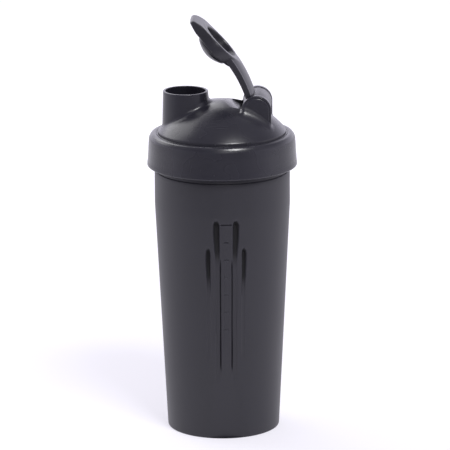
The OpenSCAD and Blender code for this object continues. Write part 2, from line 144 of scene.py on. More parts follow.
class ShakerLidSizes(bpy.types.PropertyGroup):
    """Sizes of the lid, its spout and its hinge ears"""
    dome_r: length("Dome Radius", 53.14, "Radius of the dome's curve")
    dome_top: length("Dome Top", 217.7, "Height of the top of the dome")
    foot_r: length("Dome Foot", 41.3, "Radius of the foot of the dome")
    groove_z: length("Groove Height", 195.8, "Height of the groove round the dome")
    wall: length("Wall", 2, "Wall of the lid")
    inner_r: length("Inner Radius", 45.2, "Radius of the inside of the band")
    ceiling_z: length("Ceiling", 193.8, "Height of the ceiling that presses on the seal")
    ring_r: length("Ring Radius", 40, "Outer radius of the ring that centres the lid")
    ring_wall: length("Ring Wall", 1.6, "Wall of that ring")
    ring_z: length("Ring Bottom", 188.4, "Height of that ring's lower edge")
    spout_r: length("Spout Radius", 14.6, "Outer radius of the spout at its rim")
    spout_foot_r: length("Spout Foot Radius", 15.35, "Outer radius of the spout at the dome")
    bore_r: length("Bore Radius", 13, "Radius of the spout's bore")
    ear_r: length("Ear Radius", 9.5, "Radius of a hinge ear")
    ear_in: length("Ear Inside", 13.25, "Distance from the middle to the ear's inner face")
    ear_out: length("Ear Outside", 17.75, "Distance from the middle to the ear's outer face")
    ear_step: length("Ear Step", 1.5, "Width of the step round the ear's raised outer face")
    pocket_r: length("Pocket Radius", 9.7, "Radius of the pocket that holds the barrel")
    bore_pin_r: length("Pin Bore Radius", 3.06, "Radius of the bores that hold the stub axles")


class ShakerCapSizes(bpy.types.PropertyGroup):
    """Sizes of the flip cap, measured from the hinge line with the cap shut"""
    reach: length("Reach", 46.2, "Distance from the hinge line to the middle of the cap")
    top_z: length("Top", 12.3, "Height of the cap's rim")
    seat_z: length("Seat", 9.85, "Height of the roof of the rim groove")
    skirt_z: length("Skirt Bottom", 5.5, "Height of the skirt's lower edge")
    rim_r: length("Rim Radius", 16.5, "Outer radius of the cap")
    skirt_in_r: length("Skirt Inside", 15.2, "Inner radius of the skirt")
    plug_r: length("Plug Radius", 12.6, "Radius of the plug at its root")
    plug_foot_r: length("Plug Foot", 11.6, "Radius of the plug at its lower edge")
    plug_z: length("Plug Bottom", -0.7, "Height of the lowest point of the plug")
    bowl_r: length("Bowl Radius", 12.6, "Radius of the hollow on top")
    arm_w: length("Arm Width", 25.6, "Width of the arm")
    arm_t: length("Arm Thickness", 3.7, "Thickness of the arm at its edges")
    crown: length("Crown", 3, "Rise of the arm's crowned top")
    barrel_r: length("Barrel Radius", 9.2, "Radius of the barrel")
    barrel_half: length("Barrel Half Length", 12.75, "Half the length of the barrel")
    axle_r: length("Axle Radius", 3, "Radius of the stub axles")
    axle_half: length("Axle Half Length", 16.05, "Distance from the middle to an axle's end")
    tab_tip: length("Tab Tip", 70.1, "Distance from the hinge line to the tip of the tab")


class ShakerInnerSizes(bpy.types.PropertyGroup):
    """Sizes of the lid seal, the screw threads and the whisk ball"""
    pitch: length("Thread Pitch", 6, "Rise of the thread in one turn")
    thread_h: length("Thread Height", 1.7, "Height of the ridge above its wall")
    thread_z: length("Thread Start", 177.5, "Height at which the cup's thread starts")
    seal_lip: length("Seal Lip", 0.35, "Height of the two lips on each face of the seal")
    wire_d: length("Wire Diameter", 2.2, "Diameter of the whisk ball's wire")
    ball_turns: IntProperty(name="Ball Turns", description="Turns of wire", default=7, min=5, max=8)


class ShakerColours(bpy.types.PropertyGroup):
    """Colours of the finishes"""
    cup: tint("Cup", 0.0145, 0.0138, 0.0198, "Frosted charcoal of the cup")
    lid: tint("Lid", 0.015, 0.0145, 0.021, "Satin black of the lid")
    cap: tint("Cap", 0.014, 0.0135, 0.019, "Satin black of the flip cap")
    seal: tint("Seal", 0.012, 0.012, 0.013, "Silicone of the seal")
    steel: tint("Steel", 0.62, 0.61, 0.60, "Wire of the whisk ball")
    floor: tint("Floor", 0.93, 0.92, 0.95, "Floor of the studio")


# ---------- modelling tools ----------

def smooth(value, low, high):
    """0 below low, 1 above high, with a soft rise between."""
    t = min(1, max(0, (value - low) / (high - low)))
    return t * t * (3 - 2 * t)


def blend(a, b, t):
    """The value that is the share t of the way from a to b."""
    return a + (b - a) * t


def arc(x, z, r, start, end, steps=6):
    """Outline points on an arc about (x, z), from one angle to the other, in degrees."""
    angles = [radians(blend(start, end, i / steps)) for i in range(steps + 1)]
    return [(x + r * cos(a), z + r * sin(a)) for a in angles]


def bezier(a, b, c, steps=8):
    """Points of a curve that leaves a towards b and reaches c from b."""
    a, b, c = Vector(a), Vector(b), Vector(c)
    places = [i / steps for i in range(steps + 1)]
    return [a * (1 - t) ** 2 + b * 2 * t * (1 - t) + c * t * t for t in places]


def through(points, steps=4):
    """A smooth curve through outline points."""
    p = [Vector(q) for q in points]
    p = [2 * p[0] - p[1], *p, 2 * p[-1] - p[-2]]
    made = []
    for i in range(1, len(p) - 2):
        for k in range(steps):
            t = k / steps
            made.append(0.5 * (2 * p[i] + (p[i + 1] - p[i - 1]) * t
                               + (2 * p[i - 1] - 5 * p[i] + 4 * p[i + 1] - p[i + 2]) * t ** 2
                               + (3 * p[i] - p[i - 1] - 3 * p[i + 1] + p[i + 2]) * t ** 3))
    return [tuple(q) for q in made] + [tuple(p[-2])]


def mode(name):
    bpy.ops.object.mode_set(mode=name)


def start():
    """Object mode, with nothing selected."""
    if bpy.context.object and bpy.context.object.mode != "OBJECT":
        mode("OBJECT")
    bpy.ops.object.select_all(action="DESELECT")


def pick(obj):
    """Only this object is selected and active."""
    start()
    obj.select_set(True)
    bpy.context.view_layer.objects.active = obj
    return obj


def named(name):
    """Name the object that was just added, and its data."""
    obj = bpy.context.object
    obj.name = name
    obj.data.name = name
    return obj


def tidy(obj):
    """Merge doubles and turn every face outwards."""
    pick(obj)
    mode("EDIT")
    bpy.ops.mesh.select_all(action="SELECT")
    bpy.ops.mesh.remove_doubles(threshold=MERGE)
    bpy.ops.mesh.normals_make_consistent(inside=False)
    mode("OBJECT")
    return obj


def turned(name, outline, steps):
    """A solid of revolution: one point is extruded along the outline, then spun about Z."""
    start()
    bpy.ops.mesh.primitive_plane_add(size=MM)
    obj = named(name)
    mode("EDIT")
    bpy.ops.mesh.merge(type="CENTER")
    places = [Vector((r, 0, z)) for r, z in outline]
    bpy.ops.transform.translate(value=places[0])
    for a, b in zip(places, places[1:]):
        bpy.ops.mesh.extrude_region_move(TRANSFORM_OT_translate={"value": b - a})
    bpy.ops.mesh.select_all(action="SELECT")
    bpy.ops.mesh.spin(steps=steps, angle=tau, center=(0, 0, 0), axis=(0, 0, 1))
    return tidy(obj)


def loft(name, rings):
    """A closed solid: a ring of points is extruded from each cross-section to the next."""
    start()
    bpy.ops.mesh.primitive_circle_add(vertices=len(rings[0]), radius=MM)
    obj = named(name)
    mode("EDIT")
    bm = bmesh.from_edit_mesh(obj.data)
    step = bm.verts.layers.int.new("step")
    for i, v in enumerate(bm.verts):
        v[step] = i
    for i, ring in enumerate(rings):
        if i:
            bpy.ops.mesh.extrude_region_move()
        bm = bmesh.from_edit_mesh(obj.data)
        step = bm.verts.layers.int["step"]
        for v in bm.verts:
            if v.select:
                v.co = ring[v[step]]
        bmesh.update_edit_mesh(obj.data)
    bpy.ops.mesh.select_all(action="SELECT")
    bpy.ops.mesh.fill_holes(sides=0)
    return tidy(obj)


def rod(name, r, half, edge, vertices=96):
    """A cylinder along Y through the origin, with bevelled ends."""
    start()
    bpy.ops.mesh.primitive_cylinder_add(vertices=vertices, radius=r, depth=2 * half,
                                        rotation=(pi / 2, 0, 0))
    obj = named(name)
    bpy.ops.object.transform_apply(location=True, rotation=True, scale=True)
    if edge:
        mode("EDIT")
        bpy.ops.mesh.select_all(action="DESELECT")
        bm = bmesh.from_edit_mesh(obj.data)
        for e in bm.edges:
            e.select_set(all(abs(abs(v.co.y) - half) < MM / 100 for v in e.verts))
        bm.select_flush_mode()
        bmesh.update_edit_mesh(obj.data)
        bpy.ops.mesh.bevel(offset=edge, segments=4, affect="EDGES")
        mode("OBJECT")
    return obj


def place(obj, matrix):
    """Move a piece and put its place in its mesh."""
    pick(obj)
    obj.matrix_world = matrix
    bpy.ops.object.transform_apply(location=True, rotation=True, scale=True)
    return obj


def join(obj, operation, *tools):
    """Add, cut or keep what the tools cover, and remove the tools."""
    for tool in tools:
        pick(obj)
        bpy.ops.object.modifier_add(type="BOOLEAN")
        modifier = obj.modifiers[-1]
        modifier.operation = operation
        modifier.solver = "MANIFOLD"
        modifier.object = tool
        bpy.ops.object.modifier_apply(modifier=modifier.name)
        pick(tool)
        bpy.ops.object.delete()
    if not obj.data.polygons:
        raise RuntimeError(f"{obj.name} is empty after a {operation}")
    return obj


def reshape(obj, rule):
    """Move every point of the mesh as the rule says, and mark its share of a deep recess, which the
    finish paints dark as painted shade.
    """
    pick(obj)
    mode("EDIT")
    bm = bmesh.from_edit_mesh(obj.data)
    recess = bm.verts.layers.float.new("recess")
    for v in bm.verts:
        v.co, v[recess] = rule(v.co)
    bmesh.update_edit_mesh(obj.data)
    mode("OBJECT")
    return obj


def finished(obj, body, node, material, crease=35):
    """Smooth shading, the finish, and the body that the piece rides on."""
    tidy(obj)
    bpy.ops.object.shade_smooth_by_angle(angle=radians(crease))
    obj.data.materials.clear()
    obj.data.materials.append(material)
    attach(obj, body)
    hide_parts(node)
    return obj


# ---------- shader tools ----------

class Link:
    """An output socket; a sum, difference or product with it adds a Math node."""

    def __init__(self, recipe, socket):
        self.recipe = recipe
        self.socket = socket

    def _with(self, operation, a, b):
        return self.recipe.node("ShaderNodeMath", {"operation": operation}, {0: a, 1: b})

    def __add__(self, other):
        return self._with("ADD", self, other)

    def __sub__(self, other):
        return self._with("SUBTRACT", self, other)

    def __mul__(self, other):
        return self._with("MULTIPLY", self, other)

    __radd__ = __add__
    __rmul__ = __mul__


class Recipe:
    """Nodes of a material with one Principled shader, or of the world."""

    def __init__(self, name="", world=None):
        self.material = world or bpy.data.materials.new(name)
        self.material.use_nodes = True
        self.tree = self.material.node_tree
        self.shader = self.tree.nodes.get("Principled BSDF")
        self.place = self.node("ShaderNodeTexCoord", out="Generated" if world else "Object")

    def node(self, kind, settings=None, values=None, out=0):
        """Any node: its settings first, then the values or links of its sockets."""
        node = self.tree.nodes.new(kind)
        for key, value in (settings or {}).items():
            setattr(node, key, value)
        for key, value in (values or {}).items():
            self.feed(node.inputs[key], value)
        return Link(self, node.outputs[out])

    def feed(self, socket, value):
        """Link or set one socket."""
        if isinstance(value, Link):
            self.tree.links.new(value.socket, socket)
        else:
            socket.default_value = value

    def set(self, **values):
        """Values or links of the Principled shader's sockets, by name with _ for a space."""
        for key, value in values.items():
            self.feed(self.shader.inputs[key.replace("_", " ")], value)

    def stretched(self, x, y, z):
        """Object coordinates scaled along each axis."""
        return self.node("ShaderNodeMapping", values={"Vector": self.place, "Scale": (x, y, z)})

    def noise(self, scale, detail=2, rough=0.5, at=None):
        """Grey noise, at Object coordinates unless other coordinates are given."""
        values = {"Vector": at or self.place, "Scale": scale, "Detail": detail, "Roughness": rough}
        return self.node("ShaderNodeTexNoise", values=values)

    def between(self, value, low, high):
        """The value's share of the way from low to high, kept in 0 to 1."""
        return self.node("ShaderNodeMapRange", {"clamp": True},
                         {"Value": value, "From Min": low, "From Max": high})

    def level(self, value, start, end, a, b):
        """A soft change from a to b while the value goes from start to end."""
        return self.node("ShaderNodeMapRange", {"interpolation_type": "SMOOTHSTEP"},
                         {"Value": value, "From Min": start, "From Max": end,
                          "To Min": a, "To Max": b})

    def mix(self, share, a, b):
        """One colour over another."""
        return self.node("ShaderNodeMix", {"data_type": "RGBA"}, {0: share, 6: a, 7: b}, out=2)

    def bump(self, height, distance, normal=None):
        """A bumped normal, over another normal if one is given."""
        values = {"Height": height, "Distance": distance, "Strength": 1}
        if normal:
            values["Normal"] = normal
        return self.node("ShaderNodeBump", values=values)


def shade(colour, factor):
    """The colour made lighter or darker, with alpha."""
    return (*[min(1, c * factor) for c in colour], 1)


def plastic(name, colour, rough, grain, streak):
    """Moulded plastic: fine grain, flow marks, rubbed edges, hairlines, and painted shade that
    darkens deep recesses.
    """
    r = Recipe(name)
    cloud = r.noise(28, detail=3)
    flow = r.noise(60, detail=2, at=r.stretched(1, 1, streak))
    rubbed = r.between(r.node("ShaderNodeNewGeometry", out="Pointiness"), 0.505, 0.56)
    askew = {"Vector": r.place, "Rotation": (0.5, 0.9, 0.3), "Scale": (2, 90, 2)}
    scuff_at = r.node("ShaderNodeMapping", values=askew)
    scuff = r.between(r.noise(22, detail=1, at=scuff_at), 0.70, 0.76)
    tone = r.between(cloud * 0.6 + flow * 0.4, 0.3, 0.7)
    body = r.mix(tone, shade(colour, 0.88), shade(colour, 1.12))
    worn = r.mix(rubbed * 0.5, body, shade(colour, 1.9))
    scuffed = r.mix(scuff * 0.12, worn, shade(colour, 2.4))
    # Painted shade: where the mesh marks a deep recess, the colour goes nearly black to stand in for
    # the shade inside the deep flutes, and the surface is also made rougher there.
    deep = r.node("ShaderNodeAttribute", {"attribute_name": "recess"}, out=2)
    peel = r.bump(r.noise(420, detail=1), 0.012 * MM)
    r.set(Base_Color=r.mix(deep * 0.85, scuffed, shade(colour, 0.1)), IOR=1.49,
          Roughness=rough + (cloud - 0.5) * 0.10 + (flow - 0.5) * 0.06 + scuff * 0.05 + deep * 0.4,
          Normal=r.bump(r.noise(grain, detail=2, rough=0.6), 0.010 * MM, normal=peel))
    return r.material


def silicone(name, colour):
    """Soft silicone: matt, with a bloom of fine dust."""
    r = Recipe(name)
    dust = r.between(r.noise(240, detail=4), 0.55, 0.72)
    r.set(Base_Color=r.mix(dust * 0.25, shade(colour, 1), shade(colour, 3)), IOR=1.41,
          Roughness=0.62 + dust * 0.12, Normal=r.bump(r.noise(900, detail=2), 0.01 * MM))
    return r.material


def drawn_wire(name, colour):
    """Bright drawn steel wire with fine lines and water marks."""
    r = Recipe(name)
    lines = r.noise(900, detail=2, at=r.stretched(1, 1, 0.15))
    marks = r.between(r.noise(90, detail=3), 0.5, 0.7)
    r.set(Base_Color=r.mix(marks * 0.3, shade(colour, 1), shade(colour, 0.72)), Metallic=1.0,
          Roughness=0.2 + lines * 0.12 + marks * 0.12, Normal=r.bump(lines, 0.006 * MM))
    return r.material


# ---------- cup ----------

def scale_rows(grip):
    """Heights of the marks of the scale, from the top down."""
    return [grip.tick_top_z - i * grip.tick_step for i in range(grip.ticks)]


def wall_rows(cup, grip):
    """Heights of the rings of the cup's wall, close together where the flutes and marks are."""
    coarse, fine, edge = 3 * MM, 1.2 * MM, 0.3 * MM
    rows = [y + d for y in scale_rows(grip) for d in (-1.6 * edge, -edge, edge, 1.6 * edge)]
    z = 2 * MM
    while z < cup.taper_h:
        near_flutes = grip.bottom_z - coarse < z < grip.top_z + coarse
        if all(abs(z - row) > edge for row in rows):
            rows.append(z)
        z += fine if near_flutes else coarse
    return sorted(rows)


def cup_outline(cup, grip):
    """Half section of the cup, from under its floor, up the outside and down the inside."""
    foot_in = cup.base_r - cup.foot_w
    neck_r = cup.collar_r - cup.neck_step
    in_r = neck_r - cup.neck_wall
    fillet, lip, nose = 0.8 * MM, 0.7 * MM, 2.4 * MM
    taper = (cup.collar_r - cup.base_r) / cup.taper_h
    inside_r = cup.collar_r - cup.wall
    floor_r = cup.base_r - cup.wall
    soft = 3 * MM
    return [
        (0, cup.recess), (foot_in * 0.5, cup.recess),
        *arc(foot_in - fillet, cup.recess - fillet, fillet, 90, 20, 3),
        *arc(foot_in + fillet, fillet * 0.6, fillet * 0.6, 200, 270, 3),
        *arc(cup.base_r - MM, MM, MM, -90, 0, 5),
        *[(cup.base_r + taper * z, z) for z in wall_rows(cup, grip)],
        *[(cup.collar_r, cup.taper_h + z * MM) for z in (0.5, 6, 13, 19)],
        *bezier((cup.collar_r, cup.shoulder_z - nose), (cup.collar_r, cup.shoulder_z - 0.1 * MM),
                (cup.collar_r - 0.85 * MM, cup.shoulder_z), 8),
        *arc(neck_r + 0.1 * MM, cup.shoulder_z + 0.1 * MM, 0.1 * MM, 270, 180, 2),
        *arc(neck_r - lip, CUP_TOP - lip, lip, 0, 90, 4),
        *arc(in_r + lip, CUP_TOP - lip, lip, 90, 180, 4),
        (in_r, cup.shoulder_z - MM), (inside_r, cup.taper_h),
        *[(blend(inside_r, floor_r, i / 50), blend(cup.taper_h, cup.floor_z + soft, i / 50))
          for i in range(1, 50)],
        *arc(floor_r - soft, cup.floor_z + soft, soft, 0, -90, 6),
        (floor_r * 0.5, cup.floor_z), (0, cup.floor_z),
    ]


def flute(u, z, first, width, run_w, top, bottom, depth, run_depth):
    """Depth of one flute at the distance u from the middle of the panel and the height z."""
    below = top - z
    round_len, fade_start, fade_end, rise = 3.4 * MM, 6 * MM, 34 * MM, 8 * MM
    if below < 0 or z < bottom:
        return 0
    fade = smooth(below, fade_start, fade_end)
    w = blend(width, run_w, fade)
    across = (u - first - w / 2) / (w / 2)
    end = max(0, 1 - below / round_len)
    out = hypot(across, end)
    soft = blend(0.75, 0.45, fade)
    here = blend(depth, run_depth, fade) * smooth(z, bottom, bottom + rise)
    return here * (1 - smooth(out, 1 - soft, 1))


def panel_depth(grip, u, z):
    """How far the grip panel sinks into the wall at this place."""
    side = abs(u)
    deep = flute(side, z, grip.strip_half, grip.flute_w, grip.run_w, grip.top_z, grip.bottom_z,
                 grip.depth, grip.run_depth)
    deep += flute(side, z, grip.outer_start, grip.outer_w, grip.run_w * 0.8, grip.outer_top_z,
                  grip.outer_bottom_z, grip.depth * 0.9, grip.run_depth * 0.6)
    line, long_mark, short_mark = 0.3 * MM, 0.92, 0.40
    mark_cuts = (0.75 * MM, 0.55 * MM, 0.35 * MM, 0.25 * MM)
    for i, row in enumerate(scale_rows(grip)):
        half = grip.strip_half * (long_mark if i == 0 else short_mark)
        if abs(z - row) < 1.3 * line:
            deep += mark_cuts[min(i, 3)] * (1 - smooth(side, half - line, half + line))
    # Fine upright lines: place, depth, lower end and upper end
    for rail, cut, low, high in ((1.5 * MM, 0.18 * MM, 66 * MM, 122 * MM),
                                 (grip.strip_half, 1.15 * MM, 42 * MM, 120 * MM),
                                 (7.3 * MM, 0.25 * MM, 80 * MM, 118 * MM)):
        near = 1 - smooth(abs(side - rail), 0.1 * MM, 0.5 * MM)
        rise, fade = smooth(z, low, low + 10 * MM), smooth(z, high - 4 * MM, high + 8 * MM)
        deep += cut * near * rise * (1 - fade)
    return deep


def cup_rule(cup, grip):
    """Gathers the mesh at the grip panels, flattens the base's front and back, sinks the flutes, and
    gives each point its share of a deep recess, for the painted shade there.
    """
    panel, share, soft = radians(22), 0.55, 0.12 * MM
    panel_low, inner_bulge = 30 * MM, 0.8
    taper = (cup.collar_r - cup.base_r) / cup.taper_h
    flat_base = cup.base_r - cup.facet_cut
    flat_top = cup.base_r + taper * cup.facet_h

    def rule(co):
        r = hypot(co.x, co.y)
        if r < MM:
            return co, 0
        angle = Vector((co.x, co.y)).angle_signed(Vector((1, 0)))
        from_panel = angle % pi - pi / 2
        middle = angle - from_panel
        dense = pi / 2 * share
        v = abs(from_panel)
        v = v * panel / dense if v < dense else blend(panel, pi / 2, (v - dense) / (pi / 2 - dense))
        v = v if from_panel > 0 else -v
        z = co.z
        wall_r = min(cup.collar_r, cup.base_r + taper * z)
        outside = r > wall_r - 0.5 * MM and z < cup.shoulder_z - 3 * MM
        inside = r < wall_r - cup.wall + 0.3 * MM and cup.floor_z < z < cup.facet_h
        if z < cup.facet_h * 1.2:
            flat = blend(flat_base, flat_top, z / cup.facet_h)
            flat = (flat - (cup.wall if inside else 0)) / cos(v)
            if (outside or inside) and cos(v) > 0.5 and r > cup.base_r * 0.7:
                r = -soft * log(exp(-(r - flat) / soft) + 1) + flat if r - flat > -20 * soft else r
        deep = 0
        if outside and z > panel_low:
            deep = panel_depth(grip, v * wall_r, z)
            r -= deep
        elif r < wall_r - cup.wall + 0.3 * MM and panel_low < z < cup.taper_h:
            r -= inner_bulge * panel_depth(grip, v * wall_r, z)
        # Second value: the share of a deep flute, which the finish paints dark as painted shade.
        return Vector((r * cos(middle + v), r * sin(middle + v), z)), smooth(deep, 0.5 * MM, 1.4 * MM)

    return rule


def thread(name, inner, root, crest, start_z, turns=1.5, each=40):
    """Ridge of a screw thread from the wall at root to the crest, fading out at both ends."""
    sunk = 0.6 * MM if crest > root else -0.6 * MM
    span, runout = turns * tau, radians(24)
    half_root, half_crest = 1.95 * MM, 0.65 * MM
    rings = []
    for i in range(int(turns * each) + 1):
        a = i * tau / each
        f = max(0, min(1, a / runout, (span - a) / runout))
        peak = root + (crest - root) * f - sunk * (1 - f) / 3
        z = start_z + inner.pitch * a / tau
        corners = [(root - sunk, -half_root), (peak, -half_crest), (peak, half_crest),
                   (root - sunk, half_root)]
        rings.append([Vector((r * cos(a), r * sin(a), z + h)) for r, h in corners])
    return loft(name, rings)


class SHAKER_OT_cup(bpy.types.Operator):
    """Add the tapered cup with its grip flutes, scale and threaded neck"""
    bl_idname = "shaker.cup"
    bl_label = "Add Cup"

    def execute(self, context):
        scene = context.scene
        cup, grip, inner = scene.shaker_cup, scene.shaker_grip, scene.shaker_inner
        obj = turned("shaker_cup", cup_outline(cup, grip), 384)
        reshape(obj, cup_rule(cup, grip))
        neck_r = cup.collar_r - cup.neck_step
        join(obj, "UNION",
             thread("cup_thread", inner, neck_r, neck_r + inner.thread_h, inner.thread_z))
        place(obj, Matrix.Rotation(cup.turn, 4, "Z"))
        finished(obj, "cup", "cup",
                 plastic("frosted_plastic", scene.shaker_colours.cup, 0.46, 2600, 0.12))
        return {"FINISHED"}


# ---------- lid ----------

def dome_z(lid, x, y):
    """Height of the dome's outside over a place."""
    return lid.dome_top - lid.dome_r + sqrt(lid.dome_r ** 2 - x * x - y * y)


def lid_outline(lid):
    """Half section of the lid, from the top of the dome, down the outside and up the inside."""
    centre = lid.dome_top - lid.dome_r
    in_r = lid.dome_r - lid.wall
    ring_in = lid.ring_r - lid.ring_wall
    foot, g = lid.foot_r, lid.groove_z
    edge = lid.foot_r - 0.4 * MM
    outer = [edge * i / 40 for i in range(41)]
    inner = [ring_in * (1 - i / 24) for i in range(25)]
    low = LID_LOW.z
    foot_out = LID_HIGH.x
    band = [(4.72, 0.17), (5.04, 0.63), (5.36, 1.09), (5.74, 1.9), (6.0, 2.8), (6.36, 6.8),
            (6.56, 10.8), (6.82, 14.8)]
    band = through([*[(foot + out * MM, g - down * MM) for out, down in band],
                    (foot + 6.99 * MM, low + 3.6 * MM), (foot_out - 0.06 * MM, low + 2 * MM)])
    return [
        *[(r, centre + sqrt(lid.dome_r ** 2 - r * r)) for r in outer],
        *arc(foot - 0.25 * MM, g + 1.9 * MM, 0.4 * MM, 35, 0, 3),
        *arc(foot + 0.55 * MM, g + 0.4 * MM, 0.4 * MM, 180, 270, 4),
        *arc(foot + 1.75 * MM, g - 0.1 * MM, 0.7 * MM, 150, 90, 4),
        *bezier((foot + 2.6 * MM, g + 0.6 * MM), (foot + 4.25 * MM, g + 0.5 * MM),
                (foot + 4.72 * MM, g - 0.17 * MM), 6)[:-1],
        *band,
        *arc(foot_out - 0.7 * MM, low + 0.75 * MM, 0.7 * MM, 20, -80, 5),
        *arc(lid.inner_r + 0.5 * MM, low + 0.5 * MM, 0.5 * MM, 270, 180, 3),
        (lid.inner_r, lid.ceiling_z), (lid.ring_r, lid.ceiling_z),
        *arc(lid.ring_r - 0.4 * MM, lid.ring_z + 0.4 * MM, 0.4 * MM, 0, -90, 3),
        *arc(ring_in + 0.4 * MM, lid.ring_z + 0.4 * MM, 0.4 * MM, -90, -180, 3),
        *[(r, centre + sqrt(in_r ** 2 - r * r)) for r in inner],
    ]


def skirt(path, fillet, lid, steps=8):
    """Rings that lead from an upright wall out on to the dome.

    path is a list of (x, y, nx, ny): places on the wall's footprint with the way out of it.
    fillet gives the size of the fillet for a place and a way out.
    """
    spans = []
    for x, y, nx, ny in path:
        f = fillet(x, nx, ny)
        at = dome_z(lid, x, y)
        far = Vector((x + f * nx, y + f * ny, dome_z(lid, x + f * nx, y + f * ny)))
        curve = bezier((x, y, at + f), (x, y, at), far, steps)
        past = f + 0.35 * MM
        dip = Vector((x + past * nx, y + past * ny, 0))
        dip.z = dome_z(lid, dip.x, dip.y) - 0.3 * MM
        spans.append([*curve, dip])
    return [list(ring) for ring in zip(*spans)]


def inner_ring(ring, share, lid, depth):
    """The ring drawn in towards its middle, at a depth below the dome's outside."""
    middle = sum(ring, Vector()) / len(ring)
    made = []
    for p in ring:
        q = middle.lerp(p, share)
        q.z = dome_z(lid, q.x, q.y) - depth
        made.append(q)
    return made


def spout_solid(lid, sides=128):
    """The spout, closed, with a fillet that grows towards the middle of the dome."""
    top, lip = LID_HIGH.z, 0.35 * MM
    low = lid.groove_z
    ways = [Vector((cos(i * tau / sides), sin(i * tau / sides), 0)) for i in range(sides)]
    wall_r = lambda z: blend(lid.spout_foot_r, lid.spout_r, (z - low) / (top - low))
    path = []
    for n in ways:
        r = lid.spout_foot_r
        for _ in range(3):
            r = wall_r(dome_z(lid, SPOUT_X + r * n.x, r * n.y))
        path.append((SPOUT_X + r * n.x, r * n.y, n.x, n.y))
    fillet = lambda x, nx, ny: blend(1.2 * MM, 4.2 * MM, (1 + nx) / 2)
    rings = skirt(path, fillet, lid)
    mid = Vector((SPOUT_X, 0, 0))
    rim = [[mid + n * r + Vector((0, 0, z)) for n in ways]
           for r, z in arc(lid.spout_r - lip, top - lip, lip, 90, 0, 5)]
    wall = [[a.lerp(b, k / 12) for a, b in zip(rim[-1], rings[0])] for k in range(1, 12)]
    return loft("spout", [*rim, *wall, *rings, inner_ring(rings[-1], 0.5, lid, MM)])


def spout_bore(lid):
    """Cutter for the bore, flared where it rounds the inside of the rim."""
    top, lip = LID_HIGH.z, 0.35 * MM
    low = lid.groove_z - MM
    outline = [(0, low), (lid.bore_r, low), *arc(lid.bore_r + lip, top - lip, lip, 180, 100, 6),
               (lid.bore_r + lip, top + MM), (0, top + MM)]
    return place(turned("bore", outline, 128), Matrix.Translation((SPOUT_X, 0, 0)))


def ear_solid(lid, side):
    """One hinge ear: a round-topped upright with a rounded outer edge."""
    low = lid.dome_top - 22 * MM
    rings, step, q = [], lid.ear_step, 0.6 * MM
    edge = [(lid.ear_r, lid.ear_in), *arc(lid.ear_r - q, lid.ear_out - step, q, 0, 90, 4),
            (lid.ear_r - step + 0.05 * MM, lid.ear_out - step + q),
            *arc(lid.ear_r - step - q, lid.ear_out - q, q, 0, 90, 4)]
    for r, y in edge:
        top = arc(HINGE.x, HINGE.z, r, 0, 180, 40)
        outline = [(HINGE.x + r, low), *top, (HINGE.x - r, low)]
        rings.append([Vector((x, side * y, z)) for x, z in outline])
    return loft("ear", rings)


def ear_skirt(lid, side):
    """Fillet that leads from one ear's sides on to the dome."""
    tuck, r = 0.03 * MM, lid.ear_step * 1.4
    corners = [(lid.ear_r - r, lid.ear_out - r, r, 0, 90),
               (r - lid.ear_r, lid.ear_out - r, r, 90, 180),
               (0.4 * MM - lid.ear_r, lid.ear_in + 0.4 * MM, 0.4 * MM, 180, 270),
               (lid.ear_r - 0.4 * MM, lid.ear_in + 0.4 * MM, 0.4 * MM, 270, 360)]
    loop = []
    for cx, cy, cr, a, b in corners:
        for k in range(9):
            t = radians(blend(a, b, k / 8))
            loop.append((cx + (cr - tuck) * cos(t), cy + (cr - tuck) * sin(t), cos(t), sin(t)))
    path = []
    for (x, y, nx, ny), (x2, y2, nx2, ny2) in zip(loop, loop[1:] + loop[:1]):
        count = max(1, round(hypot(x2 - x, y2 - y) / (0.7 * MM)))
        for k in range(count):
            n = Vector((blend(nx, nx2, k / count), blend(ny, ny2, k / count))).normalized()
            path.append((HINGE.x + blend(x, x2, k / count), side * blend(y, y2, k / count),
                         n.x, side * n.y))
    front = lambda x: blend(7.4 * MM, 3.2 * MM, (x - HINGE.x + lid.ear_r) / (2 * lid.ear_r))
    fillet = lambda x, nx, ny: 0.3 * MM + 1.3 * MM * nx * nx + front(x) * max(0, side * ny) ** 2
    rings = skirt(path, fillet, lid, 12)
    return loft("ear_skirt", [inner_ring(rings[0], 0.6, lid, -2 * MM), *rings,
                              inner_ring(rings[-1], 0.6, lid, MM)])


def across(name, r, half, x, z):
    """A plain cylinder along Y at a place beside the hinge line."""
    return place(rod(name, r, half, 0, 128), Matrix.Translation((x, 0, z)))


def hinge_tub(lid):
    """Wall under the barrel's pocket, kept inside the dome's own wall."""
    shift = 2.6 * MM
    tub = across("tub", lid.pocket_r + lid.wall + shift, lid.ear_in + lid.wall,
                 HINGE.x - shift, HINGE.z)
    start()
    bpy.ops.mesh.primitive_uv_sphere_add(segments=128, ring_count=64, radius=lid.dome_r - 0.3 * MM,
                                         location=(0, 0, lid.dome_top - lid.dome_r))
    ball = named("dome_ball")
    bpy.ops.object.transform_apply(location=True, rotation=True, scale=True)
    return join(tub, "INTERSECT", ball)


def arm_relief(lid, cap):
    """Cutter that leaves room for the root of the arm when the cap is shut."""
    start()
    bpy.ops.mesh.primitive_cube_add(size=1)
    box = named("relief")
    corner = Vector((HINGE.x - cap.barrel_r - 3.3 * MM, 0, HINGE.z - 0.7 * MM))
    lean, size = radians(26), (16 * MM, 2 * (lid.ear_in - 0.1 * MM), 14 * MM, 1)
    leaning = Matrix.Translation(corner) @ Matrix.Rotation(lean, 4, "Y")
    return place(box, leaning @ Matrix.Translation((-4 * MM, 0, 7 * MM)) @ Matrix.Diagonal(size))


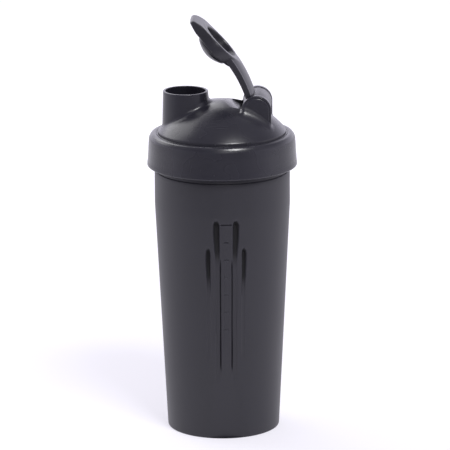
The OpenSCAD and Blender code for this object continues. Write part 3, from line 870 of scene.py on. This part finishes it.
class SHAKER_OT_lid(bpy.types.Operator):
    """Add the screw lid with its dome, spout and hinge ears"""
    bl_idname = "shaker.lid"
    bl_label = "Add Lid"

    def execute(self, context):
        scene = context.scene
        lid, cap, inner = scene.shaker_lid, scene.shaker_cap, scene.shaker_inner
        obj = turned("shaker_lid", lid_outline(lid), 256)
        ears = [make(lid, side) for side in (1, -1) for make in (ear_solid, ear_skirt)]
        join(obj, "UNION", spout_solid(lid), *ears, hinge_tub(lid))
        join(obj, "DIFFERENCE", across("pocket", lid.pocket_r, lid.ear_in, HINGE.x, HINGE.z),
             arm_relief(lid, cap), spout_bore(lid),
             across("pin_bore", lid.bore_pin_r, cap.axle_half + 0.3 * MM, HINGE.x, HINGE.z))
        under = thread("lid_thread", inner, lid.inner_r, lid.inner_r - inner.thread_h,
                       inner.thread_z + inner.pitch / 2)
        join(obj, "UNION", under)
        finished(obj, "lid", "lid",
                 plastic("satin_plastic", scene.shaker_colours.lid, 0.27, 3200, 0.4))
        return {"FINISHED"}


# ---------- flip cap ----------

def arm_edge(cap, x):
    """Height of the arm's upper edge at a distance from the hinge line."""
    root, end = cap.barrel_r * 0.65, cap.reach - cap.plug_r
    u = (end - x) / (end - root)
    top = cap.top_z - 2 * MM
    return top - (top - cap.barrel_r / 6) * (0.4 * u + 0.6 * u * u)


def arm_solid(cap, stations=28):
    """The curved arm: flat below and crowned above, with rounded edges."""
    half, r, t = cap.arm_w / 2, 0.7 * MM, cap.arm_t
    upper_meets, lower_meets = cap.skirt_in_r - 0.3 * MM, (cap.skirt_in_r + cap.rim_r) / 2
    places = [(half - r) * (1 - k / 12) for k in range(25)]
    crown = [(y, cap.crown * (1 - (y / half) ** 2)) for y in places]
    outline = [*arc(half - r, r - t, r, -90, 0, 4), *arc(half - r, -r * 0.4, r, 0, 60, 3), *crown,
               *arc(r - half, -r * 0.4, r, 120, 180, 3), *arc(r - half, r - t, r, 180, 270, 4)]
    rings = []
    for i in range(stations + 1):
        ring = []
        for y, up in outline:
            meets = upper_meets if up > -t / 2 else lower_meets
            x = blend(cap.barrel_r * 0.65, cap.reach - sqrt(meets ** 2 - y * y), i / stations)
            z = arm_edge(cap, x) + up
            ring.append(Vector((-x, y, min(z, cap.top_z - 0.03 * MM))))
        rings.append(ring)
    return loft("arm", rings)


def disc_outline(cap):
    """Half section of the cap's round end: bowl, rim, skirt, groove and plug."""
    shell = 1.7 * MM
    bowl_low, foot_z = cap.plug_z + shell, cap.plug_z + 4.3 * MM
    bowl_foot_r = cap.plug_foot_r - shell
    top, rim = cap.top_z, cap.rim_r
    dish = lambda r, radius, rise, low: (r, low + rise * (r / radius) ** 2)
    bowl = [dish(bowl_foot_r * i / 10, bowl_foot_r, 3.6 * MM, bowl_low) for i in range(11)]
    plug = [dish(cap.plug_foot_r * (1 - i / 16), cap.plug_foot_r, 4.0 * MM, cap.plug_z)
            for i in range(1, 17)]
    return [
        *bowl,
        *bezier((bowl_foot_r + 0.5 * MM, foot_z + 1.6 * MM),
                (cap.bowl_r - 0.6 * MM, foot_z + 3 * MM), (cap.bowl_r - 0.2 * MM, top - 0.8 * MM), 5),
        *arc(cap.bowl_r + 0.7 * MM, top - 0.7 * MM, 0.7 * MM, 170, 90, 5),
        *arc(rim - 1.4 * MM, top - 1.3 * MM, 1.3 * MM, 90, 5, 7),
        *arc(rim - 0.4 * MM, cap.skirt_z + 0.4 * MM, 0.4 * MM, 0, -90, 4),
        *arc(cap.skirt_in_r + 0.3 * MM, cap.skirt_z + 0.3 * MM, 0.3 * MM, -90, -180, 3),
        *arc(cap.skirt_in_r - 0.4 * MM, cap.seat_z - 0.4 * MM, 0.4 * MM, 0, 90, 3),
        *arc(cap.plug_r + 0.4 * MM, cap.seat_z - 0.4 * MM, 0.4 * MM, 90, 180, 3),
        *arc(cap.plug_foot_r - 0.5 * MM, foot_z + 0.5 * MM, 0.55 * MM, 10, -40, 4),
        *plug,
    ]


def tab_solid(cap):
    """The thumb tab: its sides leave the rim smoothly and end in round corners and a blunt tip."""
    leave, r, corner = radians(77), cap.rim_r - 0.2 * MM, 3 * MM
    tip = cap.tab_tip - cap.reach
    c0, h0 = r * cos(leave), r * sin(leave)
    slope = 1 / tan(leave)
    end_h = h0 - slope * (tip - corner - c0)
    side = [(blend(c0, tip - corner, i / 10), h0 - slope * (tip - corner - c0) * i / 10)
            for i in range(10)]
    half = [*side, *arc(tip - corner, end_h - corner, corner, 90 - degrees(slope), 4, 10),
            (tip + 0.1 * MM, (end_h - corner) * 0.6), (tip + 0.2 * MM, (end_h - corner) * 0.3)]
    outer = [*half, (tip + 0.25 * MM, 0), *[(c, -h) for c, h in reversed(half)]]
    drop = lambda c: 2.8 * MM * (max(0, c - 14 * MM) / (10.2 * MM)) ** 2
    high = lambda c: cap.top_z - 0.03 * MM - drop(c)
    low = lambda c: cap.skirt_z + 0.4 * MM + 1.5 * MM * smooth(c, 15 * MM, tip)
    foot_r, root_r = (cap.skirt_in_r + cap.rim_r) / 2, cap.skirt_in_r - 0.3 * MM
    rings = []
    for i, p in enumerate(outer):
        a = blend(leave, -leave, i / (len(outer) - 1))
        foot, root = (Vector((q * cos(a), q * sin(a))) for q in (foot_r, root_r))
        edge = Vector(p)
        out = edge - foot
        e = min(0.9 * MM, out.length * 0.6, (high(edge.x) - low(edge.x)) * 0.48)
        way = out.normalized() * e
        under = [(foot.lerp(edge - way, t), 0, low) for t in (0, 0.25, 0.5, 0.75)]
        nose = [(edge + way * (u - 1), e * (w + 1), low) for u, w in arc(0, 0, 1, -90, 0, 5)]
        nose += [(edge + way * (u - 1), e * (w - 1), high) for u, w in arc(0, 0, 1, 0, 90, 5)]
        over = [((edge - way).lerp(root, t), 0, high) for t in (0.25, 0.5, 0.75, 1)]
        rings.append([Vector((-cap.reach - q.x, q.y, face(q.x) + up))
                      for q, up, face in (*under, *nose, *over)])
    return loft("tab", rings)


def groove_cutter(cap):
    """What the rim groove and the hollow inside the skirt leave free, for the arm's root."""
    r, z = cap.skirt_in_r + 0.02 * MM, cap.seat_z + 0.02 * MM
    cutter = turned("groove", [(0, -z), (r, -z), (r, z), (0, z)], 160)
    return place(cutter, Matrix.Translation((-cap.reach, 0, 0)))


class SHAKER_OT_flip_cap(bpy.types.Operator):
    """Add the flip cap: barrel, arm, round end with plug and bowl, and thumb tab"""
    bl_idname = "shaker.flip_cap"
    bl_label = "Add Flip Cap"

    def execute(self, context):
        scene = context.scene
        cap = scene.shaker_cap
        obj = turned("shaker_flip_cap", disc_outline(cap), 160)
        place(obj, Matrix.Translation((-cap.reach, 0, 0)))
        arm = join(arm_solid(cap), "DIFFERENCE", groove_cutter(cap))
        join(obj, "UNION", arm, tab_solid(cap),
             rod("barrel", cap.barrel_r, cap.barrel_half, 0.7 * MM, 128),
             rod("axle", cap.axle_r, cap.axle_half, 0.5 * MM, 64))
        place(obj, Matrix.Translation(HINGE) @ Matrix.Rotation(CAP_OPEN, 4, "Y"))
        finished(obj, "flip_cap", "flip_cap",
                 plastic("cap_plastic", scene.shaker_colours.cap, 0.34, 3200, 0.8))
        return {"FINISHED"}


# ---------- seal and whisk ball ----------

class SHAKER_OT_lid_seal(bpy.types.Operator):
    """Add the silicone ring with its two lips on each face"""
    bl_idname = "shaker.lid_seal"
    bl_label = "Add Lid Seal"

    def execute(self, context):
        scene = context.scene
        lip = scene.shaker_inner.seal_lip
        out_r = SEAL_HIGH.x
        in_r = scene.shaker_lid.ring_r + 0.3 * MM
        low, high = SEAL_LOW.z, SEAL_HIGH.z
        wide = out_r - in_r
        top = [(in_r + wide * (1 - t / 24), high - lip * (0.5 - 0.5 * cos(4 * pi * t / 24)))
               for t in range(1, 24)]
        bottom = [(x, low + high - z) for x, z in reversed(top)]
        round_r = 0.3 * MM
        outline = [*arc(out_r - round_r, high - round_r, round_r, 0, 70, 3), *top,
                   *arc(in_r + round_r, high - round_r, round_r, 110, 180, 3),
                   *arc(in_r + round_r, low + round_r, round_r, 180, 250, 3), *bottom,
                   *arc(out_r - round_r, low + round_r, round_r, 290, 360, 3)]
        obj = turned("shaker_lid_seal", [*outline, outline[0]], 192)
        finished(obj, "lid_seal", "lid_seal",
                 silicone("seal_silicone", scene.shaker_colours.seal))
        return {"FINISHED"}


class SHAKER_OT_whisk_ball(bpy.types.Operator):
    """Add the loose ball of coiled wire"""
    bl_idname = "shaker.whisk_ball"
    bl_label = "Add Whisk Ball"

    def execute(self, context):
        scene = context.scene
        inner = scene.shaker_inner
        r = (BALL_HIGH.x - BALL_LOW.x - inner.wire_d) / 2
        pole, steps_a_turn = radians(78), 40
        start()
        bpy.ops.curve.primitive_nurbs_path_add()
        obj = named("shaker_whisk_ball")
        curve = obj.data
        curve.splines.clear()
        line = curve.splines.new("POLY")
        count = inner.ball_turns * steps_a_turn
        line.points.add(count)
        for i, point in enumerate(line.points):
            lat, a = blend(-pole, pole, i / count), tau * inner.ball_turns * i / count
            at = BALL_MID + r * Vector((cos(lat) * cos(a), cos(lat) * sin(a), sin(lat)))
            point.co = (*at, 1)
        curve.bevel_depth = inner.wire_d / 2
        curve.bevel_resolution = 3
        curve.use_fill_caps = True
        pick(obj)
        bpy.ops.object.convert(target="MESH")
        obj = named("shaker_whisk_ball")
        finished(obj, "whisk_ball", "whisk_ball",
                 drawn_wire("wire_steel", scene.shaker_colours.steel), 60)
        return {"FINISHED"}


# ---------- studio ----------

def studio_floor(colour):
    """White to the camera with a soft shadow under the object; reflections see it fade in front."""
    r = Recipe("studio_floor")
    r.set(Base_Color=(*colour, 1), Roughness=0.9)
    rays = r.tree.nodes.new("ShaderNodeLightPath")
    seen, glossy, through_glass = (Link(r, rays.outputs[f"Is {kind} Ray"])
                                   for kind in ("Camera", "Glossy", "Transmission"))
    depth = r.node("ShaderNodeSeparateXYZ", values={0: r.place}, out=1)
    to_camera = r.level(depth, 0.1, 1, 1.03, 1.45)
    near = r.level(depth, -0.62, -0.33, 0.1, 1)
    strength = seen * to_camera + (glossy + through_glass) * near * 1.18
    glow = r.node("ShaderNodeEmission", values={"Color": (1, 0.98, 1.07, 1), "Strength": strength})
    share = seen * 0.5 + (glossy + through_glass) * 0.62
    lit = Link(r, r.shader.outputs[0])
    soft = r.node("ShaderNodeMixShader", values={0: share, 1: lit, 2: glow})
    r.feed(r.tree.nodes["Material Output"].inputs["Surface"], soft)
    return r.material


def studio_world(world):
    """White for the camera; as light, white behind and beside, dimmer in front and above."""
    r = Recipe(world=world)
    y, z = (r.node("ShaderNodeSeparateXYZ", values={0: r.place}, out=i) for i in (1, 2))
    front_to_side, side_to_back = r.level(y, -1, -0.1, 0.3, 1.05), r.level(y, 0.2, 0.8, 1, 1.4)
    glow = front_to_side * side_to_back * r.level(z, 0.2, 0.6, 1, 0.38)
    seen = r.node("ShaderNodeLightPath")
    strength = r.node("ShaderNodeMix", values={0: seen, 2: glow, 3: 1.0})
    light = r.tree.nodes["Background"]
    light.inputs["Color"].default_value = (1, 0.97, 1.12, 1)
    r.feed(light.inputs["Strength"], strength)


def softbox(name, way, distance, width, height, power):
    """A rectangular lamp that faces the middle of the studio."""
    start()
    bpy.ops.object.light_add(type="AREA", location=STUDIO_MIDDLE + distance * Vector(way))
    lamp = named(name)
    lamp.data.shape = "RECTANGLE"
    lamp.data.size = width
    lamp.data.size_y = height
    lamp.data.energy = power
    lamp.rotation_euler = (-distance * Vector(way)).to_track_quat("-Z", "Y").to_euler()


class SHAKER_OT_stage(bpy.types.Operator):
    """Add the floor, the lamps, the surround and the camera"""
    bl_idname = "shaker.stage"
    bl_label = "Add Stage"

    def execute(self, context):
        scene = context.scene
        start()
        bpy.ops.mesh.primitive_plane_add(size=12, location=(0, 4.8, 0))
        ground = named("studio_floor")
        bpy.ops.object.transform_apply(location=True, rotation=True, scale=True)
        ground.data.materials.append(studio_floor(scene.shaker_colours.floor))
        scene.world = scene.world or bpy.data.worlds.new("studio")
        studio_world(scene.world)
        for lamp in LAMPS:
            softbox(*lamp)
        start()
        bpy.ops.object.camera_add()
        camera = named("camera")
        camera.data.lens = CAMERA_LENS
        camera.data.sensor_width = CAMERA_SENSOR
        camera.data.clip_end = 50
        pan, pitch = Matrix.Rotation(CAMERA_PAN, 4, "Z"), Matrix.Rotation(CAMERA_PITCH, 4, "X")
        aim = pan @ pitch @ Matrix.Rotation(CAMERA_ROLL, 4, "Z")
        camera.matrix_world = Matrix.Translation(CAMERA_PLACE) @ aim
        scene.camera = camera
        scene.view_settings.view_transform = "Standard"
        return {"FINISHED"}


class SHAKER_PT_pieces(bpy.types.Panel):
    """Buttons that add the pieces"""
    bl_label = "Shaker Bottle"
    bl_space_type = "VIEW_3D"
    bl_region_type = "UI"
    bl_category = "Shaker"

    def draw(self, context):
        for operator in OPERATORS:
            self.layout.operator(operator.bl_idname)


OPERATORS = (SHAKER_OT_stage, SHAKER_OT_cup, SHAKER_OT_lid, SHAKER_OT_flip_cap, SHAKER_OT_lid_seal,
             SHAKER_OT_whisk_ball)
GROUPS = {
    "shaker_cup": ShakerCupSizes,
    "shaker_grip": ShakerGripSizes,
    "shaker_lid": ShakerLidSizes,
    "shaker_cap": ShakerCapSizes,
    "shaker_inner": ShakerInnerSizes,
    "shaker_colours": ShakerColours,
}


def register():
    for cls in (*GROUPS.values(), *OPERATORS, SHAKER_PT_pieces):
        bpy.utils.register_class(cls)
    for name, group in GROUPS.items():
        setattr(bpy.types.Scene, name, PointerProperty(type=group))


def unregister():
    for name in GROUPS:
        delattr(bpy.types.Scene, name)
    for cls in reversed((*GROUPS.values(), *OPERATORS, SHAKER_PT_pieces)):
        bpy.utils.unregister_class(cls)


def main():
    register()
    bpy.ops.shaker.stage()
    bpy.ops.shaker.cup()
    bpy.ops.shaker.lid()
    bpy.ops.shaker.flip_cap()
    bpy.ops.shaker.lid_seal()
    bpy.ops.shaker.whisk_ball()


if __name__ == "__main__":
    main()
